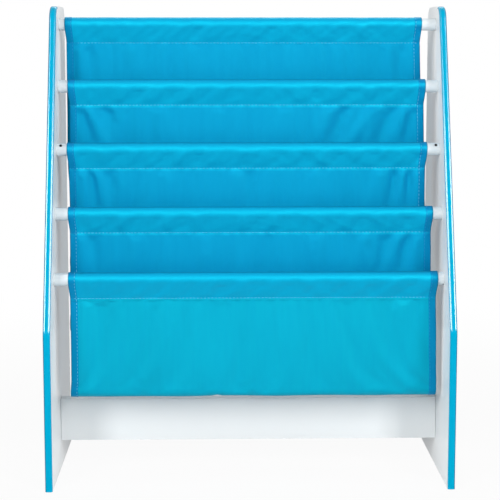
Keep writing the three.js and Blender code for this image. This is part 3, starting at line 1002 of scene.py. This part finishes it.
def hangPockets():  # how far each point of a coarse grid moves
    across = np.linspace(-clothWidth / 2, clothWidth / 2, round(clothWidth / hang["cell"]) + 1)
    pockets, points, faces, held = [], [], [], []
    for number in range(railCount - 1):
        length = lengthsAlong(pocketLine(number))[-1]
        along = np.linspace(0, length, round(length / hang["cell"]) + 1)
        grid = pocketPlaces(number, across, along)
        index = np.arange(grid[:, :, 0].size).reshape(grid.shape[:2]) + len(points)
        corners = np.stack([index[:-1, :-1], index[:-1, 1:], index[1:, 1:], index[1:, :-1]], 2)
        faces += corners.reshape(-1, 4).tolist()
        bend = (along / length - sling["bottomShare"]) / hang["bendReach"]
        firm = hang["bendHold"] * np.exp(-bend ** 2)
        firm[[0, -1]] = 1
        held += np.repeat(firm, len(across)).tolist()
        points += grid.reshape(-1, 3).tolist()
        pockets.append((along, grid, index))
    hung = simulated(points, faces, held)
    return across, [(along, limited(number, along, hung[index] - grid))
            for number, (along, grid, index) in enumerate(pockets)]


def outOf(grid):  # the direction out of the sheet at each place
    out = np.cross(np.gradient(grid, axis=1), np.gradient(grid, axis=0))
    return out / np.linalg.norm(out, axis=2)[:, :, None]


def shellOf(name, grid, along):  # a closed thin shell round a sheet's places
    rows, count = grid.shape[:2]
    edge = clothWidth / 2 - np.abs(columns)
    plain, hem, slope, thin = (sling[key] for key in ("thickness", "hem", "hemSlope", "rimThin"))
    thick = plain + (sling["hemThickness"] - plain) * (1 - between(edge, (hem - slope, hem + slope)))
    thick = thick * (1 - thin + thin * between(edge, (0, slope)))
    half = outOf(grid) * thick[None, :, None] / 2
    points = np.concatenate([(grid + half).reshape(-1, 3), (grid - half).reshape(-1, 3)])
    far = rows * count
    index = np.arange(far).reshape(rows, count)
    a, b, c, d = index[:-1, :-1], index[:-1, 1:], index[1:, 1:], index[1:, :-1]
    upper = np.stack([a, d, c, b], 2).reshape(-1, 4)
    lower = np.stack([a, b, c, d], 2).reshape(-1, 4) + far

    def wall(line):
        return np.stack([line[:-1], line[1:], line[1:] + far, line[:-1] + far], 1)
    rims = [wall(index[0]), wall(index[-1][::-1]), wall(index[::-1, 0]), wall(index[:, -1])]
    faces = np.concatenate([upper, lower, *rims])
    mesh = bpy.data.meshes.new(name)
    mesh.from_pydata(points.tolist(), [], faces.tolist())
    layer = mesh.uv_layers.new(name="cloth")
    flat = np.stack(np.meshgrid(columns + clothWidth / 2, along), 2).reshape(-1, 2)
    loops = np.zeros(len(mesh.loops), np.int32)
    mesh.loops.foreach_get("vertex_index", loops)
    layer.data.foreach_set("uv", flat[loops % far].astype(np.float32).ravel())
    shadeSmooth(mesh, sling["sharp"])
    mesh.update()
    return mesh


# The cloth's own dyed tones, and painted shade: darker pocket walls, a darker hem, darker channel tops and
# edges
dyeAndShade = {
    "light": srgb(0, 144, 192),
    "dark": srgb(0, 130, 184),
    "streak": srgb(0, 102, 168),
    # painted shade: the pockets' back walls are darker, standing for the shade in the recess under each rail
    "wall": srgb(0, 102, 164),
    "front": srgb(0, 137, 170),
    # painted shade: the hem is darker, standing for the light that the thicker cloth lets through less
    "hem": srgb(0, 92, 162),
    # painted shade: a dark tone on the top of each channel and along the cloth's outer edges, where the
    # cloth turns away from the light
    "edge": srgb(0, 54, 106),
    "frontEnds": (8 * mm, 14 * mm),  # how far behind the last rail its front wall may reach
    "frontFade": 2 * mm,  # above its stitched line
    "hemFade": (-0.3 * mm, 0.4 * mm),
    "edgeShadeFade": (0.7 * mm, 1.3 * mm),
    "wallFade": 4 * mm,
    "crownShadeFade": (2 * mm, 5 * mm),  # from the middle of the cloth in a channel
    "weave": 0.7 * mm,  # from thread to thread
}


def blueCloth(graph, place):
    flat = graph.node("ShaderNodeUVMap", {"uv_map": "cloth"})
    across, along, _ = graph.axes(flat)
    _, ahead, height = graph.axes(place)
    lastY, lastZ = rails[-1]
    seam = lastZ - sling["seamDrop"]
    frontWall = ((1 - graph.step(ahead, dyeAndShade["frontEnds"], lastY))
            * (1 - graph.step(height, (seam - dyeAndShade["frontFade"], seam))))
    edge = graph.maths("MINIMUM", across, clothWidth - across)
    # the hem, darkened as painted shade
    hem = 1 - graph.step(edge, dyeAndShade["hemFade"], sling["hem"])
    # painted shade along the cloth's outer edges
    rim = 1 - graph.step(edge, dyeAndShade["edgeShadeFade"])
    # the pockets' walls, which get painted shade and a rougher surface
    wall = graph.step(along, (0, dyeAndShade["wallFade"]), sling["wrapLength"])
    # the top of each channel, darkened as painted shade where it turns away from the light
    fromCrown = graph.maths("ABSOLUTE", along - sling["wrapLength"] / 2)
    crown = 1 - graph.step(fromCrown, dyeAndShade["crownShadeFade"])
    thread = 2 * math.pi / dyeAndShade["weave"]
    weave = graph.maths("SINE", across * thread) * graph.maths("SINE", along * thread)
    streaks = graph.noise(graph.stretched(flat, (260, 18, 1)), scale=1.0, detail=3.0)
    cloudy = graph.noise(graph.stretched(flat, (11, 8, 1)), scale=1.0)
    tone = graph.blend(cloudy, dyeAndShade["dark"], dyeAndShade["light"])
    # Painted shade goes over the cloth's own mottled tone and streaks: darker walls, hem, channel tops and
    # outer edges
    for share, key in ((wall * (1 - frontWall) * 0.8, "wall"), (frontWall * 0.8, "front"),
            (streaks * 0.25, "streak"), (hem, "hem"), (crown * 0.6, "edge"), (rim * 0.8, "edge")):
        tone = graph.blend(share, tone, dyeAndShade[key])
    return {
        "Base Color": tone,
        "Roughness": wall * 0.22 - frontWall * 0.08 + crown * 0.32 + streaks * 0.1 + 0.42,
        "IOR": 1.85,
        "Specular IOR Level": 1.0,
        "Specular Tint": (0.02, 1, 1, 1),
        "Normal": graph.bump(weave * 0.5 + streaks, strength=0.12, distance=0.3 * mm),
    }


# Stitches: small rounded lengths of thread, set along the seams and the hems

stitch = {
    "pitch": 4.6 * mm,
    "length": 3.3 * mm,
    "thickness": 0.45 * mm,
    "sink": 0.12 * mm,
    "hemRow": 8 * mm,
    "sideGap": 1.5 * mm,
    "wander": 0.07,
    "seed": 3,
    "segments": 6,
    "rings": 4,
    "darkFrom": (-13 * mm, -11 * mm),  # from the cloth's edge, where the thread gets darker
}


def paleThread(graph, place):
    twist = graph.noise(place, scale=2600.0, detail=1.0)
    aside = graph.maths("ABSOLUTE", graph.axes(place)[0])
    inHem = graph.step(aside, stitch["darkFrom"], clothWidth / 2)
    pale = graph.blend(twist, srgb(92, 198, 230), srgb(138, 218, 238))
    return {
        "Base Color": graph.blend(inHem, pale, srgb(40, 150, 205)),
        "Roughness": twist * 0.2 + 0.5,
        "Specular IOR Level": 0.3,
        "Normal": graph.bump(twist, strength=0.2, distance=0.2 * mm),
    }


def makeStitchTree():
    graph, given = newTree("stitches", {"Float": ["Length", "Thickness", "Wander"], "Int": ["Seed"]})
    ball = graph.node("GeometryNodeMeshUVSphere", {},
            {"Segments": stitch["segments"], "Rings": stitch["rings"], "Radius": 0.5})
    size = graph.node("ShaderNodeCombineXYZ", {}, {"X": given["Length"], "Y": given["Thickness"],
            "Z": given["Thickness"]})
    shaped = graph.node("GeometryNodeTransform", {}, {"Geometry": ball, "Scale": size})
    along = graph.node("FunctionNodeAlignRotationToVector", {"axis": "X"}, {"Vector": graph.named("along")})
    facing = graph.node("FunctionNodeAlignRotationToVector", {"axis": "Z", "pivot_axis": "X"},
            {"Rotation": along, "Vector": graph.named("out")})
    drift = graph.node("FunctionNodeRandomValue", {"data_type": "FLOAT"},
            {"Min": given["Wander"] * -1, "Max": given["Wander"], "Seed": given["Seed"]}, out=1)
    turn = graph.node("ShaderNodeCombineXYZ", {}, {"Z": drift})
    tilted = graph.node("FunctionNodeRotateRotation", {"rotation_space": "LOCAL"},
            {"Rotation": facing, "Rotate By": turn})
    sewn = graph.node("GeometryNodeInstanceOnPoints", {},
            {"Points": given["Geometry"], "Instance": shaped, "Rotation": tilted})
    return closeTree(graph, given, sewn)


finishes["blue_cloth"] = makeFinish("blue_cloth", blueCloth)
finishes["thread"] = makeFinish("paleThread", paleThread)
stitchTree = makeStitchTree()


# Stitches through given places of a sheet, on one side of it: their places and the ways along and out
def sewnRow(grid, out, along, acrossPlaces, alongPlaces, side):
    across, down = np.broadcast_arrays(acrossPlaces, alongPlaces)

    def at(values):
        column = np.interp(across, columns, np.arange(len(columns)))
        row = np.interp(down, along, np.arange(len(along)))
        left, top = (np.minimum(np.floor(part).astype(int), limit - 2)
                for part, limit in ((column, len(columns)), (row, len(along))))
        u, v = (column - left)[:, None], (row - top)[:, None]
        return ((values[top, left] * (1 - u) + values[top, left + 1] * u) * (1 - v)
                + (values[top + 1, left] * (1 - u) + values[top + 1, left + 1] * u) * v)
    places, normals = at(grid), at(out)
    heading = np.gradient(places, axis=0)
    heading /= np.linalg.norm(heading, axis=1)[:, None]
    inHem = clothWidth / 2 - np.abs(across) < sling["hem"]
    ply = np.where(inHem, sling["hemThickness"], sling["thickness"])
    half = ply / 2 + stitch["thickness"] / 2 - stitch["sink"]
    return places + side * normals * half[:, None], heading, side * normals


def sewPiece(number, grid, along, seamRows):
    out = outOf(grid)
    half = clothWidth / 2 - stitch["sideGap"]
    across = np.arange(-half, half, stitch["pitch"])
    rows = [sewnRow(grid, out, along, across, place, -1) for place in seamRows]
    down = np.arange(stitch["pitch"] / 2, along[-1], stitch["pitch"])
    for end in (-1, 1):
        for side in (-1, 1):
            rows.append(sewnRow(grid, out, along, end * (clothWidth / 2 - stitch["hemRow"]), down, side))
    places, headings, normals = (np.concatenate(parts) for parts in zip(*rows))
    name = f"stitching_{number + 1}"
    mesh = grow(name, stitchTree, "thread", {
        "Length": stitch["length"], "Thickness": stitch["thickness"], "Wander": stitch["wander"],
        "Seed": stitch["seed"] + number}, guideMesh(name, places.tolist(), along=headings, out=normals))
    shadeSmooth(mesh)
    return addPiece(name, mesh, "blue_cloth", finish="thread")


def hungPockets(across, moves):  # the pockets' places on the grid that is shown
    pockets = []
    for number, (coarse, move) in enumerate(moves):
        length = lengthsAlong(pocketLine(number))[-1]
        rows = spaced(length, sling["rowStep"], sling["rowReach"])
        move = smoothly(rows, coarse, move)
        move = np.swapaxes(smoothly(columns, across, np.swapaxes(move, 0, 1)), 0, 1)
        pockets.append((rows, pocketPlaces(number, columns, rows) + move))
    for (rows, behind), (_, ahead) in zip(pockets, pockets[1:]):
        front = rows > sling["frontShare"] * rows[-1]
        back = range(int(sling["backShare"] * len(ahead)))
        for column in range(len(columns)):  # a pocket's front wall hangs behind the next pocket's back
            _, y, z = ahead[back, column].T
            limit = np.interp(behind[front, column, 2], z[::-1], y[::-1]) + sling["plyGap"]
            behind[front, column, 1] = np.maximum(behind[front, column, 1], limit)
    return pockets


def makeClothPiece(number, pockets):
    wrap = wrapLine(number)
    wrapLength = lengthsAlong(wrap)[-1]
    along = spaced(wrapLength, sling["wrapRowStep"], sling["wrapRowReach"])
    grid = sheetPlaces(wrap, slides[number], slides[number], partial(wrapDraw, number),
            partial(wrapFolds, number), columns, along)
    replaced, resting = [f"sling_channel_{number + 1}"], [f"round_rail_{number + 1}"]
    seamRows = [sling["seamInset"] if number else sling["lip"]]
    if number + 1 < railCount:
        rows, places = pockets[number]
        grid = np.concatenate([grid, places[1:]])
        along = np.concatenate([along, rows[1:] + wrapLength])
        replaced.append(f"sling_pocket_{number + 1}")
        resting.append(f"round_rail_{number + 2}")
        seamRows.append(wrapLength)
    else:
        seamRows.append(wrapLength - sling["lip"])
    mesh = shellOf(f"sling{number + 1}", grid, along)
    piece = addPiece(f"sling_part_{number + 1}", mesh, "blue_cloth", replaced)
    stitching = sewPiece(number, grid, along, seamRows)


pockets = hungPockets(*hangPockets())
print("pockets hung")
for number in range(railCount):
    makeClothPiece(number, pockets)
print("cloth sewn")


scene.view_settings.view_transform = "Standard"
